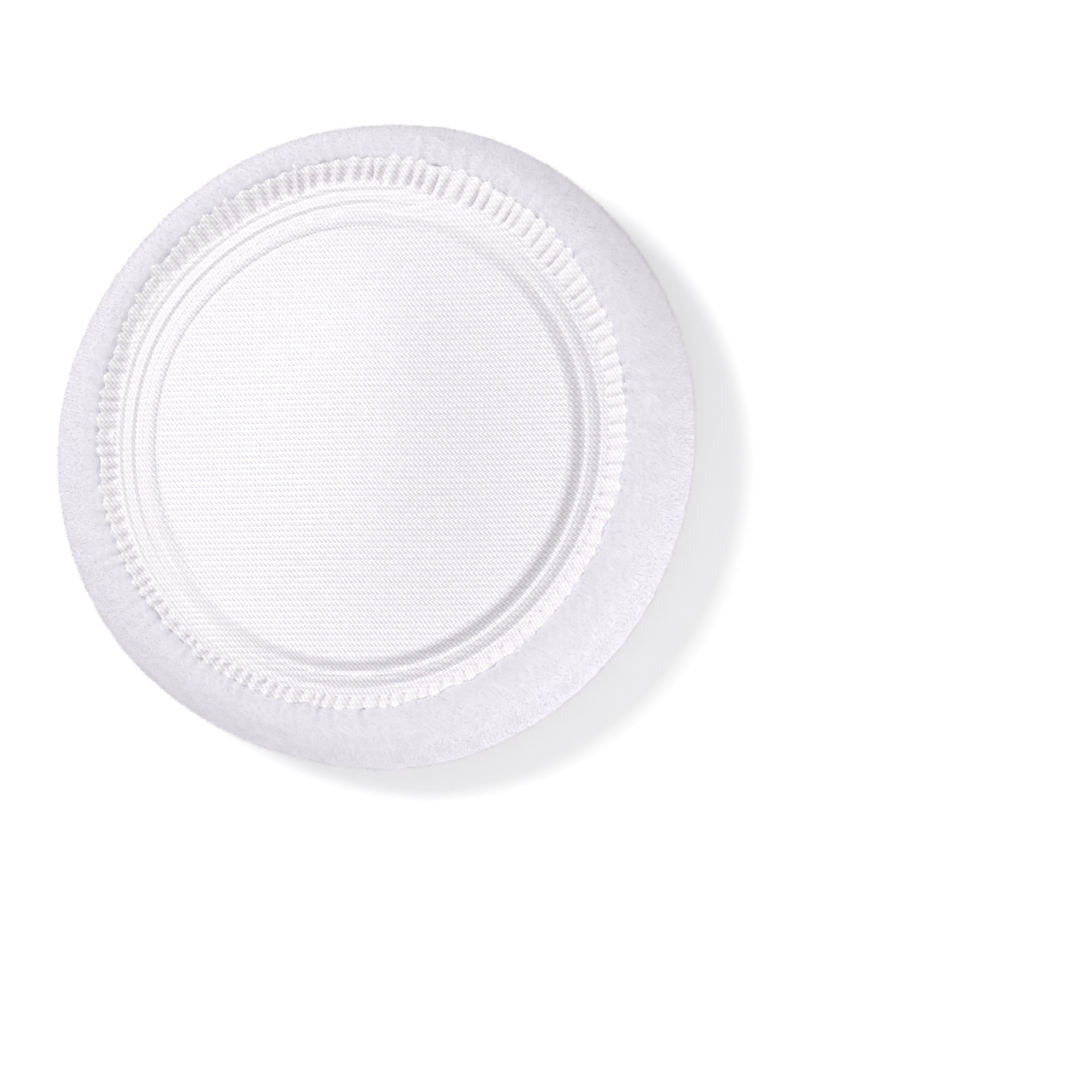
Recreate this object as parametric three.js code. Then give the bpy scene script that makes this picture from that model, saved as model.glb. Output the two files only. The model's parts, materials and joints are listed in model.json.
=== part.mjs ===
// Round powder puff: a plush velour cover over a sponge, closed at the back by a satin disc whose
// rim is gathered into fine pleats and whose middle is pressed with two ring beads.
// Millimetres, +Z up. The velour face lies on z = 0 and the satin back looks up.
import * as THREE from 'three';

// Satin back, from its middle outwards. Rises are measured from the groove outside the beads.
const LEVEL_DIAMETER = 24;
const PLATEAU_DIAMETER = 45;
const PLATEAU_RISE = 1.05;
const PLATEAU_CROWN = 0.5;
const BEAD_1_WIDTH = 1.95;
const BEAD_1_CREST_OFFSET = 0.45;
const BEAD_1_RISE = 1.35;
const CREASE_RISE = 0.25;
const BEAD_2_WIDTH = 1.75;
const BEAD_2_CREST_OFFSET = 0.75;
const BEAD_2_RISE = 0.65;
const PLEAT_COUNT = 120;
const PLEAT_LENGTH = 3.4;
const PLEAT_START = 0.4;
const PLEAT_RISE = 1.35;
const PLEAT_HEIGHT = 0.6;
const SATIN_THICKNESS = 0.5;
const HEM_TURN = 1.5;

// Velour cover: the knit ground and its pile together, rolled over at the back into a hem.
const VELOUR_THICKNESS = 1.8;
const ROLL_WIDTH = 5.4;
const ROLL_RISE = 1;
const ROLL_WIDEST_HEIGHT = 6;
const LIP_WIDTH = 1.3;
const VELOUR_HEM_THICKNESS = 1;
const FACE_FLAT_DIAMETER = 42;

// What the covers hold, and the room between neighbouring layers.
const CORE_THICKNESS = 6.6;
const DISC_EDGE_THICKNESS = 1;
const THREAD_DIAMETER = 0.5;
const CLEARANCE = 0.3;

// Facets round the axis, and steps along a quarter of an arc.
const SATIN_FACETS = 40;
const VELOUR_FACETS = 48;
const THREAD_SIDES = 6;
const ARC_STEPS = 6;
const INSIDE_STEPS = 3;

// Radii that follow from the widths above.
const PLATEAU_R = PLATEAU_DIAMETER / 2;
const CREASE_R = PLATEAU_R + BEAD_1_WIDTH;
const GROOVE_R = CREASE_R + BEAD_2_WIDTH;
const SEAM_R = GROOVE_R + PLEAT_LENGTH;
const PUFF_R = SEAM_R + ROLL_WIDTH;
const MOUTH_R = SEAM_R + CLEARANCE;
const LIP_R = MOUTH_R + LIP_WIDTH;
const VELOUR_HEM_R = MOUTH_R + VELOUR_HEM_THICKNESS;
const FACE_FLAT_R = FACE_FLAT_DIAMETER / 2;
const SKIRT_R = SEAM_R - PLEAT_HEIGHT;
const SKIRT_INSIDE_R = SKIRT_R - SATIN_THICKNESS;
const HEM_END_R = SKIRT_INSIDE_R - HEM_TURN;
const THREAD_R = SKIRT_INSIDE_R * Math.cos(Math.PI / SATIN_FACETS) - CLEARANCE - THREAD_DIAMETER / 2;

// Heights, stacked from the velour face up through the sponge and the disc to the satin.
const CORE_BOTTOM_Z = VELOUR_THICKNESS + CLEARANCE;
const CORE_TOP_Z = CORE_BOTTOM_Z + CORE_THICKNESS;
const DISC_BOTTOM_Z = CORE_TOP_Z + CLEARANCE;
const GROOVE_Z = DISC_BOTTOM_Z + DISC_EDGE_THICKNESS + CLEARANCE + SATIN_THICKNESS;
const SEAM_Z = GROOVE_Z + PLEAT_RISE;
const ROLL_Z = SEAM_Z + ROLL_RISE;
const HEM_TOP_Z = pleatUnderside(THREAD_R) - CLEARANCE - THREAD_DIAMETER - CLEARANCE;
const HEM_Z = HEM_TOP_Z - SATIN_THICKNESS;

// Underside of the gathered band: the line of the pleats' valleys, one cloth lower.
function pleatUnderside(radius) {
  const share = (radius - GROOVE_R) / (SKIRT_R - GROOVE_R);
  return GROOVE_Z + share * (PLEAT_RISE - PLEAT_HEIGHT) - SATIN_THICKNESS;
}

// Pressed section of the satin from the level middle to the groove, lowered by a given drop.
function pressedProfile(drop) {
  const base = GROOVE_Z - drop;
  return [
    [LEVEL_DIAMETER / 2, base + PLATEAU_RISE + PLATEAU_CROWN],
    [PLATEAU_R, base + PLATEAU_RISE],
    [PLATEAU_R + BEAD_1_CREST_OFFSET, base + BEAD_1_RISE],
    [CREASE_R, base + CREASE_RISE],
    [CREASE_R + BEAD_2_CREST_OFFSET, base + BEAD_2_RISE],
    [GROOVE_R, base],
  ];
}

// Points of a quarter ellipse about a centre, from one angle to another, in degrees.
function arc([r, z], [width, height], from, to, steps) {
  const points = [];
  for (let i = 0; i <= steps; i++) {
    const angle = THREE.MathUtils.degToRad(from + ((to - from) * i) / steps);
    points.push([r + width * Math.cos(angle), z + height * Math.sin(angle)]);
  }
  return points;
}

// The stretch of a rising outline that lies below a height, ended on that height.
function below(outline, z) {
  const end = outline.findIndex((point) => point[1] >= z);
  const [from, to] = [outline[end - 1], outline[end]];
  const share = (z - from[1]) / (to[1] - from[1]);
  return [...outline.slice(0, end), [from[0] + share * (to[0] - from[0]), z]];
}

// Inside of the velour cover, or a surface one gap further in: up the flank, then over to the hem.
function coverInside(gap) {
  const inset = VELOUR_THICKNESS + gap;
  const reach = PUFF_R - inset;
  const low = [reach - FACE_FLAT_R, ROLL_WIDEST_HEIGHT - inset];
  const high = [reach - VELOUR_HEM_R, ROLL_Z - inset - ROLL_WIDEST_HEIGHT];
  return [
    ...arc([FACE_FLAT_R, ROLL_WIDEST_HEIGHT], low, -90, 0, INSIDE_STEPS),
    ...arc([VELOUR_HEM_R, ROLL_WIDEST_HEIGHT], high, 0, 90, INSIDE_STEPS).slice(1),
  ];
}

// Solid of revolution about Z from a closed half section of [radius, height] points.
function revolve(section, facets) {
  const points = section.map(([r, z]) => new THREE.Vector2(r, z));
  return new THREE.LatheGeometry(points, facets).rotateX(Math.PI / 2).rotateZ(Math.PI / 2);
}

// Ring of points at equal angles; the section may change from point to point.
function ring(count, section) {
  const points = [];
  for (let i = 0; i < count; i++) {
    const [r, z] = section(i);
    const angle = (2 * Math.PI * i) / count;
    points.push(new THREE.Vector3(r * Math.cos(angle), r * Math.sin(angle), z));
  }
  return points;
}

// Skin over a chain of rings, closed by a fan at each end. Neighbouring rings may have different
// numbers of points: the next triangle is always taken on the ring that lags behind.
function skin(start, rings, end) {
  const triangles = [];
  const fan = (centre, around, turned) => {
    around.forEach((point, i) => {
      const next = around[(i + 1) % around.length];
      triangles.push(...(turned ? [centre, next, point] : [centre, point, next]));
    });
  };
  fan(start, rings[0], false);
  for (let k = 0; k + 1 < rings.length; k++) {
    const [a, b] = [rings[k], rings[k + 1]];
    let [i, j] = [0, 0];
    while (i < a.length || j < b.length) {
      const onA = i < a.length && (j === b.length || (i + 1) * b.length <= (j + 1) * a.length);
      const [p, q] = [a[i % a.length], b[j % b.length]];
      triangles.push(p, q, onA ? a[(i + 1) % a.length] : b[(j + 1) % b.length]);
      if (onA) i++;
      else j++;
    }
  }
  fan(end, rings.at(-1), true);
  return new THREE.BufferGeometry().setFromPoints(triangles);
}

// Velour cover: flat face, rounded flank, roll, lip and hem, then back along the inside.
function velourCover() {
  const flank = [PUFF_R - FACE_FLAT_R, ROLL_WIDEST_HEIGHT];
  const roll = [PUFF_R - LIP_R, ROLL_Z - ROLL_WIDEST_HEIGHT];
  return revolve(
    [
      [0, 0],
      ...arc([FACE_FLAT_R, ROLL_WIDEST_HEIGHT], flank, -90, 0, ARC_STEPS),
      ...arc([LIP_R, ROLL_WIDEST_HEIGHT], roll, 0, 90, ARC_STEPS).slice(1),
      ...arc([LIP_R, SEAM_Z], [LIP_WIDTH, ROLL_RISE], 90, 180, INSIDE_STEPS).slice(1),
      [MOUTH_R, HEM_Z],
      [VELOUR_HEM_R, HEM_Z],
      ...coverInside(0).reverse(),
      [0, VELOUR_THICKNESS],
    ],
    VELOUR_FACETS,
  );
}

// Satin back: pressed middle, gathered band, skirt, hem turned in round the thread, and underside.
// The gathers start flat beside the groove and are deepest at the seam.
function satinBack() {
  const smooth = ([r, z]) => ring(SATIN_FACETS, () => [r, z]);
  const startShare = PLEAT_START / PLEAT_LENGTH;
  const pleatStart = [GROOVE_R + PLEAT_START, GROOVE_Z + startShare * PLEAT_RISE];
  const pleatTip = (i) => {
    const valley = (i % 2) * PLEAT_HEIGHT;
    return [SEAM_R - valley, SEAM_Z - valley];
  };
  const top = pressedProfile(0);
  const underside = pressedProfile(SATIN_THICKNESS);
  const rings = [
    ...top.map(smooth),
    ring(2 * PLEAT_COUNT, () => pleatStart),
    ring(2 * PLEAT_COUNT, pleatTip),
    smooth([SKIRT_R, HEM_Z]),
    smooth([HEM_END_R, HEM_Z]),
    smooth([HEM_END_R, HEM_TOP_Z]),
    smooth([SKIRT_INSIDE_R, HEM_TOP_Z]),
    smooth([SKIRT_INSIDE_R, pleatUnderside(SKIRT_INSIDE_R)]),
    ...underside.reverse().map(smooth),
  ];
  const middle = top[0][1];
  const start = new THREE.Vector3(0, 0, middle);
  const end = new THREE.Vector3(0, 0, middle - SATIN_THICKNESS);
  return skin(start, rings, end);
}

// Backing disc: firm pressed pad with the same beads on top, flat underneath.
function backingDisc() {
  const top = pressedProfile(SATIN_THICKNESS + CLEARANCE);
  const middle = top[0][1];
  return revolve(
    [[0, DISC_BOTTOM_Z], [GROOVE_R, DISC_BOTTOM_Z], ...top.reverse(), [0, middle]],
    SATIN_FACETS,
  );
}

// Sponge core: fills the cover one clearance inside it, and rises round the disc under the hems.
function spongeCore() {
  const shoulderZ = HEM_Z - CLEARANCE;
  const stepR = (GROOVE_R + HEM_END_R) / 2;
  return revolve(
    [
      [0, CORE_BOTTOM_Z],
      ...below(coverInside(CLEARANCE), shoulderZ),
      [stepR, shoulderZ],
      [stepR, CORE_TOP_Z],
      [0, CORE_TOP_Z],
    ],
    VELOUR_FACETS,
  );
}

// Draw thread: one closed ring in the fold of the satin's hem.
function drawThread() {
  const geometry = new THREE.TorusGeometry(THREAD_R, THREAD_DIAMETER / 2, THREAD_SIDES, VELOUR_FACETS);
  return geometry.translate(0, 0, HEM_TOP_Z + CLEARANCE + THREAD_DIAMETER / 2);
}

function piece(name, geometry, color, roughness) {
  const material = new THREE.MeshStandardMaterial({ color, roughness, metalness: 0 });
  const mesh = new THREE.Mesh(geometry, material);
  mesh.name = name;
  return mesh;
}

const puff = new THREE.Group();
puff.name = 'powder_puff';
puff.add(
  piece('velour_cover', velourCover(), 0xe8e6ec, 1),
  piece('satin_back', satinBack(), 0xf3f1f5, 0.45),
  piece('backing_disc', backingDisc(), 0xe4e2da, 0.9),
  piece('sponge_core', spongeCore(), 0xefe6c8, 1),
  piece('draw_thread', drawThread(), 0xf2f0f0, 0.7),
);

export default puff;
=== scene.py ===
# %% [markdown]
# # A powder puff
#
# The object is a round powder puff, about 70 mm across and 13 mm thick. Plush velour covers the face
# that carries the powder and rolls over the edge; a round of white satin closes the back. The satin's
# middle is hot-pressed into a plateau inside two ring beads, and its rim is gathered into about 120
# fine pleats where it meets the velour. A sponge, a firm pad and a draw thread are hidden inside.
#
# The lesson builds each cloth as a surface worked out with numpy, puffs the velour up with Blender's cloth
# solver, grows a short pile on it, and gives every piece a procedural material. Sizes are in metres, in the
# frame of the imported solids: the face lies on z = 0 and +Z points out of the satin. Bearings are directions
# round the puff, counted from +X towards +Y.

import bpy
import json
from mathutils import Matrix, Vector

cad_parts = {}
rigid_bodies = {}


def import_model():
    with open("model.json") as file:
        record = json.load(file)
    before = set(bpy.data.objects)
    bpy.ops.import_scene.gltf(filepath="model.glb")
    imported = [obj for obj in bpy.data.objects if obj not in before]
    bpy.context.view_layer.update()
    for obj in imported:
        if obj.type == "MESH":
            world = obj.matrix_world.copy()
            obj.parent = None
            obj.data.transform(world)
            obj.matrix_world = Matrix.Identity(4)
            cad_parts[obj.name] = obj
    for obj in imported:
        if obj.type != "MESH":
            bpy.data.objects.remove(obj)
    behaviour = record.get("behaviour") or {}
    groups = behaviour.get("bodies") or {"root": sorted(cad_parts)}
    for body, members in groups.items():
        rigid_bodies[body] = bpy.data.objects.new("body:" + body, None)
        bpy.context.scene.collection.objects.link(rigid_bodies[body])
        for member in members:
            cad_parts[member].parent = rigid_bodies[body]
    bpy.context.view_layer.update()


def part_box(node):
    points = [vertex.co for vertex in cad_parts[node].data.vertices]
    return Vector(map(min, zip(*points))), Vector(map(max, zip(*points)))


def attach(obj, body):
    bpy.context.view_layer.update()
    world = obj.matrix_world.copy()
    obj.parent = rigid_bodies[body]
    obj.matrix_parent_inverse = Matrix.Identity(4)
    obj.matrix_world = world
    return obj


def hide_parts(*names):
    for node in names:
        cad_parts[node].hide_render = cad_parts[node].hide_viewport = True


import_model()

import json

import bpy
import numpy as np
from mathutils import Matrix

MM = 0.001
TURN = 2 * np.pi
scene = bpy.context.scene
cover_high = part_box("velour_cover")[1]
satin_low, satin_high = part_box("satin_back")
PUFF_RADIUS, SEAM_RADIUS, HEM_LEVEL = cover_high.x, satin_high.x, satin_low.z
print(f"puff {2 * PUFF_RADIUS / MM:.1f} mm across and {cover_high.z / MM:.2f} mm thick, "
      f"seam {2 * SEAM_RADIUS / MM:.1f} mm across")

# %% [markdown]
# ## The camera
#
# The puff lies on its velour face and the lens looks down on the satin, 16.6 degrees off the upright. The
# weave's rows run level in the picture and along world X on the part, which fixes the camera's roll: its
# right-hand direction is Y x back. A long lens keeps the circles nearly elliptical.

# %% Camera
PICTURE_SIDE = 1080  # pixels
PUFF_PIXEL = (375.8, 446.2)  # where the middle of the puff's outline falls
CAMERA_TILT, CAMERA_BEARING = np.radians(16.6), np.radians(-21.5)
CAMERA_DISTANCE, LENS_MM, SENSOR_MM = 434 * MM, 135, 36
CLIP_NEAR, CLIP_FAR = 10 * MM, 20
WIDEST_LEVEL = 6 * MM  # height of the puff's widest ring


def add_object(name, data):
    """A new object in the scene, at the origin."""
    made = bpy.data.objects.new(name, data)
    scene.collection.objects.link(made)
    return made


def standing(axes, place):
    """Matrix of an object at a place, with the columns of axes as its X, Y and Z axes."""
    return Matrix([[*row, at] for row, at in zip(axes, place)] + [[0, 0, 0, 1]])


def around(r, angles, z):
    """Points at a radius, in a direction round the axis and at a height: (r cos a, r sin a, z)."""
    return np.stack(np.broadcast_arrays(r * np.cos(angles), r * np.sin(angles), z), axis=-1)


back = around(np.sin(CAMERA_TILT), CAMERA_BEARING, np.cos(CAMERA_TILT))
right = np.cross([0, 1, 0], back)
right /= np.linalg.norm(right)
up = np.cross(back, right)
pixel = SENSOR_MM / LENS_MM * CAMERA_DISTANCE / PICTURE_SIDE
aim = (np.array([0, 0, WIDEST_LEVEL])
       + right * (PICTURE_SIDE / 2 - PUFF_PIXEL[0]) * pixel
       - up * (PICTURE_SIDE / 2 - PUFF_PIXEL[1]) * pixel)

camera = add_object("camera", bpy.data.cameras.new("camera"))
camera.data.lens, camera.data.sensor_width = LENS_MM, SENSOR_MM
camera.data.clip_start, camera.data.clip_end = CLIP_NEAR, CLIP_FAR
camera.matrix_world = standing(np.column_stack([right, up, back]), aim + back * CAMERA_DISTANCE)
scene.camera = camera
print(f"one pixel covers {pixel / MM:.4f} mm at the puff")

# %% [markdown]
# ## Small helpers for nodes
#
# Every material below is a tree of shader nodes. One helper adds a node with its settings and inputs, and
# the others shorten what comes up most: sums, straight lines, bump, and a new material with its shader.

# %% Node helpers
def plug(tree, made, sockets):
    """Fills a node's inputs: a socket is linked, anything else is set as a plain value."""
    for key, value in sockets.items():
        if isinstance(value, bpy.types.NodeSocket):
            tree.links.new(value, made.inputs[key])
        else:
            made.inputs[key].default_value = value


def node(tree, kind, sockets=None, **settings):
    """Adds one shader node; settings are its properties, sockets its inputs."""
    made = tree.nodes.new("ShaderNode" + kind)
    for key, value in settings.items():
        setattr(made, key, value)
    plug(tree, made, sockets or {})
    return made


def maths(tree, operation, a, b=0.0):
    """One Math node, a operation b, as an output socket."""
    return node(tree, "Math", {0: a, 1: b}, operation=operation).outputs[0]


def linear(tree, value, factor, start):
    """start + factor value, as an output socket."""
    return maths(tree, "ADD", maths(tree, "MULTIPLY", value, factor), start)


def bumped(tree, height, strength, distance, invert=False):
    """Normals that a height bends, as the output socket of a Bump node."""
    sockets = {"Height": height, "Strength": strength, "Distance": distance}
    return node(tree, "Bump", sockets, invert=invert).outputs[0]


def new_material(name):
    """An empty node material and its Principled shader, already joined to the output."""
    material = bpy.data.materials.new(name)
    material.use_nodes = True
    tree = material.node_tree
    tree.nodes.clear()
    shader = node(tree, "BsdfPrincipled")
    node(tree, "OutputMaterial", {"Surface": shader.outputs[0]})
    return material, tree, shader

# %% [markdown]
# ## Studio lamps
#
# The picture has a large soft lamp at the upper left and much light from all round, so that even the shadow
# stays pale. A long fill lamp at the lower right keeps the velour's far side bright. It stands so low that
# the roll hides the satin's beads from it, and leaves no gloss, which would bleach the satin in low views.

# %% Lamps
KEY_LIGHT, FILL_LIGHT = 0.37, 0.52  # what a lamp adds on white: level under the key, facing the fill
KEY_AT, FILL_AT = (143, 55, 1.6), (-42, 4, 1.2)  # bearing and elevation in degrees, distance in metres
KEY_SIZE, FILL_SIZE = (0.42, 0.42), (1.1, 0.10)  # width and height


def studio_lamp(name, at, size, brightness, mirrored):
    """A soft rectangular lamp that points at the puff; unless it is mirrored, it leaves no gloss.

    A flat lamp of power P gives a white surface that faces it the brightness P / (pi distance)^2.
    """
    (bearing, elevation), distance = np.radians(at[:2]), at[2]
    towards = around(np.cos(elevation), bearing, np.sin(elevation))
    level = np.cross([0, 0, 1], towards)
    level /= np.linalg.norm(level)
    lamp = bpy.data.lights.new(name, "AREA")
    lamp.shape, (lamp.size, lamp.size_y) = "RECTANGLE", size
    lamp.energy = brightness * (np.pi * distance) ** 2
    holder = add_object(name, lamp)
    holder.visible_glossy = mirrored
    axes = np.column_stack([level, np.cross(towards, level), towards])
    holder.matrix_world = standing(axes, towards * distance)
    print(f"{name} lamp {lamp.energy:.1f} W at {distance} m")


studio_lamp("key", KEY_AT, KEY_SIZE, KEY_LIGHT / np.sin(np.radians(KEY_AT[1])), mirrored=True)
studio_lamp("fill", FILL_AT, FILL_SIZE, FILL_LIGHT, mirrored=False)

# %% [markdown]
# ## White ground
#
# Lamps and world together give a flat white surface a brightness near 1, so a colour renders about as it
# is written. To the camera the world is plain white, and the pale matt floor adds a little light of its
# own, which doesn't light the puff, so that its shadow still shows.

# %% World and floor
AMBIENT = 0.635  # brightness of the all-round light
FLOOR_HALF, FLOOR_WHITE, FLOOR_LIFT = 4.0, 0.87, 0.22  # half its side, its colour, its own light
world = scene.world or bpy.data.worlds.new("studio")
scene.world = world
world.use_nodes = True
tree = world.node_tree
tree.nodes.clear()
level = linear(tree, node(tree, "LightPath").outputs["Is Camera Ray"], 1 - AMBIENT, AMBIENT)
sky = node(tree, "Background", {"Color": (1, 1, 1, 1), "Strength": level})
node(tree, "OutputWorld", {"Surface": sky.outputs[0]})

floor_mesh = bpy.data.meshes.new("floor")
corners = FLOOR_HALF * np.array([(-1, -1, 0), (1, -1, 0), (1, 1, 0), (-1, 1, 0)])
floor_mesh.from_pydata(corners.tolist(), [], [(0, 1, 2, 3)])
floor = add_object("floor", floor_mesh)
floor_paper, tree, shader = new_material("floor_paper")
own_light = maths(tree, "MULTIPLY", node(tree, "LightPath").outputs["Is Camera Ray"], FLOOR_LIFT)
plug(tree, shader, {
    "Base Color": (FLOOR_WHITE, FLOOR_WHITE, FLOOR_WHITE, 1), "Roughness": 1.0,
    "Specular IOR Level": 0.0, "Emission Color": (1, 1, 1, 1), "Emission Strength": own_light})
floor_mesh.materials.append(floor_paper)
scene.view_settings.view_transform = "Standard"

# %% [markdown]
# ## Surfaces from grids
#
# Every piece of the puff is round, so a piece is a grid of points: one row for each place along its
# cross-section, one column for each direction round the axis. The columns close on themselves, and a
# point on the axis closes an end.

# %% Grid meshes
def smooth_mesh(name, places, faces):
    """A smooth-shaded mesh of corners and faces."""
    mesh = bpy.data.meshes.new(name)
    mesh.from_pydata(places.tolist(), [], faces)
    mesh.polygons.foreach_set("use_smooth", np.ones(len(faces), bool))
    mesh.update()
    return mesh


def grid_mesh(name, points, poles=(None, None), loop_rows=False):
    """Mesh of a rows x columns x 3 grid that closes on itself along its columns.

    Cell (i, j) becomes the quad (i,j) (i,j+1) (i+1,j+1) (i+1,j), so its normal is round x along. A pole
    is a point that closes the first or last row with a fan. loop_rows joins the last row to the first.
    """
    rows, columns = points.shape[:2]
    index = np.arange(rows * columns).reshape(rows, columns)
    if loop_rows:
        index = np.vstack([index, index[:1]])
    after = np.roll(index, -1, axis=1)
    faces = np.stack([index[:-1], after[:-1], after[1:], index[1:]], axis=-1).reshape(-1, 4).tolist()
    places = points.reshape(-1, 3)
    for pole, one, two in zip(poles, (after[0], index[-1]), (index[0], after[-1])):
        if pole is not None:
            faces += np.stack([one, two, np.full(columns, len(places))], axis=-1).tolist()
            places = np.vstack([places, pole])
    return smooth_mesh(name, places, faces)


def add_piece(name, mesh, material, slot, *nodes):
    """A mesh as a piece that rides on the part's one body and stands for CAD nodes; slot is not used."""
    piece = add_object(name, mesh)
    mesh.materials.append(material)
    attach(piece, "root")
    if nodes:
        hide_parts(*nodes)
    return piece

# %% [markdown]
# ## Cross-sections
#
# A cross-section is a list of (radius, height) points. It is put together from straight lines and parts
# of ellipses, spaced evenly along its length, and carried round the axis.

# %% Section helpers
def arc(centre, axes, first, last, count):
    """Points on an ellipse, centre + axes * (cos a, sin a), with the angle a from first to last degrees."""
    a = np.radians(np.linspace(first, last, count))
    return np.column_stack([centre[0] + axes[0] * np.cos(a), centre[1] + axes[1] * np.sin(a)])


def even_steps(section, count):
    """The same cross-section as count points, evenly spaced along its length."""
    walked = np.concatenate([[0], np.cumsum(np.linalg.norm(np.diff(section, axis=0), axis=1))])
    stops = np.linspace(0, walked[-1], count)
    return np.column_stack([np.interp(stops, walked, section[:, k]) for k in (0, 1)])


def ring_angles(count):
    """Directions round the axis, evenly spaced."""
    return np.linspace(0, TURN, count, endpoint=False)


def turned(section, angles):
    """Carries a cross-section of (radius, height) points round the axis."""
    return around(section[:, :1], angles, section[:, 1:])


def smooth(t):
    """Soft step from 0 to 1: 3t^2 - 2t^3, held at its ends."""
    t = np.clip(t, 0, 1)
    return t * t * (3 - 2 * t)

# %% [markdown]
# ## The velour's cross-section
#
# One round of velour makes the face, the flank and the roll round the satin, then turns in as a hem, under
# the ends of the satin's pleats. The ground cloth lies a little inside the solid, because the pile fills
# the rest. The seam isn't quite in the middle of a hand-finished puff, so the circles near it are shifted.

# %% Velour section
NAP = 0.35 * MM  # room left for the pile
AXIS_RING = 0.4 * MM  # radius of the ring next to the axis
FLAT_RADIUS = 21 * MM  # of the face that rests on the table
CREST_RADIUS = 30.6 * MM  # of the roll's highest ring
CREST_LEVEL = 12.40 * MM  # of the ground cloth there, settled a little under the solid's
MOUTH_RADIUS, MOUTH_LEVEL = 29.0 * MM, 10.9 * MM  # where the lip ends under the satin
LIP_POWER = 6.0  # high, so the lip stays level and then drops
# radius and height in mm: under the lip, down the hem, across it and up again
HEM = np.array([[29.1, 10.5], [29.9, 10.6], [29.9, HEM_LEVEL / MM], [30.9, HEM_LEVEL / MM], [30.9, 10.75]]) * MM
CLOTH = 1.8 * MM  # velour thickness, ground and pile
SEAM_SHIFT = np.array([-0.26, 0.99]) * MM
LEFT_BEARING = np.radians(150)
SKIN_ROWS, LINING_ROWS, COVER_COLUMNS = 122, 26, 600

flank_axes = np.array([PUFF_RADIUS - FLAT_RADIUS, WIDEST_LEVEL])
roll_axes = np.array([PUFF_RADIUS - CREST_RADIUS, CREST_LEVEL + NAP - WIDEST_LEVEL])
flank_middle, roll_middle = (FLAT_RADIUS, WIDEST_LEVEL), (CREST_RADIUS, WIDEST_LEVEL)
lip_t = np.linspace(0, 1, 20)[1:]
lip = np.column_stack([CREST_RADIUS + (MOUTH_RADIUS - CREST_RADIUS) * lip_t,
                       CREST_LEVEL + (MOUTH_LEVEL - CREST_LEVEL) * lip_t ** LIP_POWER])
skin_section = np.vstack([[[AXIS_RING, NAP]],
                          arc(flank_middle, flank_axes - NAP, -90, 0, 60),
                          arc(roll_middle, roll_axes - NAP, 0, 90, 40)[1:], lip])
lining_section = even_steps(np.vstack([
    HEM, arc(roll_middle, roll_axes - CLOTH, 78, 0, 18),
    arc(flank_middle, flank_axes - CLOTH, 0, -90, 24)[1:], [[AXIS_RING, CLOTH]]]), LINING_ROWS)


def lengths(vectors):
    """Length of each vector, as a last axis of one."""
    return np.linalg.norm(vectors, axis=-1, keepdims=True)


def along_radius(points, share):
    """Moves points outwards or inwards so that their circle's middle moves by a share of SEAM_SHIFT.

    The move is way (way . SEAM_SHIFT) share, with way the direction from the axis, so pleats stay radial.
    """
    reach = lengths(points[..., :2])
    way = points[..., :2] / np.maximum(reach, 1e-9)
    moved = points.copy()
    moved[..., :2] += way * (way @ SEAM_SHIFT)[..., None] * share * smooth(reach / FLAT_RADIUS)
    return moved


def shifted(points):
    """Shifts the part near the seam: nothing up to the widest ring, all of it at the hem's level."""
    return along_radius(points, smooth((points[..., 2:] - WIDEST_LEVEL) / (HEM_LEVEL - WIDEST_LEVEL)))


def left_share(angles):
    """How far a direction belongs to the left side of the puff, 1 at LEFT_BEARING and 0 opposite to it."""
    return smooth(0.5 + 0.75 * np.cos(angles - LEFT_BEARING))


print(f"velour: {SKIN_ROWS + LINING_ROWS} rows by {COVER_COLUMNS} columns")

# %% [markdown]
# ## The slack skin
#
# A sewn puff's edge isn't a perfect ring: its outline wanders in a few slow waves, and its roll is flatter
# on the left. Before it is stuffed, its side is also a little small.

# %% Slack skin
SLACK = 0.25 * MM  # how much too small the side is
CREST_SINK = 0.60 * MM  # how much flatter the roll is on the left
# the uneven outline as waves round the rim: how many, height in mm, bearing of a crest in degrees
OUTLINE_WAVES = [(0, 0.36, 0), (1, 0.46, -88), (2, 0.73, 15), (3, 0.35, 58), (4, 0.06, 20),
                 (5, 0.06, -5), (7, 0.05, 17)]
SIDE_BLEND, LIP_HELD = 6 * MM, 3 * MM  # how gently the side begins and ends; held lip
SINK_FROM, SINK_BLEND, SINK_EDGE = 8 * MM, 4 * MM, 0.4 * MM  # where the roll begins to sink, and how gently


def slack_skin(rows, columns):
    """The skin before it is puffed up, on a grid of that size, and each row's share of the free side.

    The section is turned round. The side moves out by the waves, height cos(count (angle - crest)), less
    SLACK, and the roll goes down by CREST_SINK on the left.
    """
    section, angles = even_steps(skin_section, rows), ring_angles(columns)
    length = np.linalg.norm(np.diff(section, axis=0), axis=1).sum()
    from_mouth = np.linspace(length, 0, rows)
    side = smooth((section[:, 0] - FLAT_RADIUS) / SIDE_BLEND) * smooth((from_mouth - LIP_HELD) / SIDE_BLEND)
    uneven = sum(height * MM * np.cos(count * (angles - np.radians(crest)))
                 for count, height, crest in OUTLINE_WAVES) - SLACK
    points = turned(section, angles) + (side[:, None] * uneven)[..., None] * around(1, angles, 0)
    outside_lip = smooth((section[:, 0] - MOUTH_RADIUS) / SINK_EDGE)
    roll = smooth((section[:, 1] - SINK_FROM) / SINK_BLEND) * outside_lip
    points[..., 2] -= CREST_SINK * roll[:, None] * left_share(angles)
    return points, side


skin, _ = slack_skin(SKIN_ROWS, COVER_COLUMNS)
print(f"slack skin: {skin[..., 0].min() / MM:.2f} to {skin[..., 0].max() / MM:.2f} mm along X")

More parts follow.
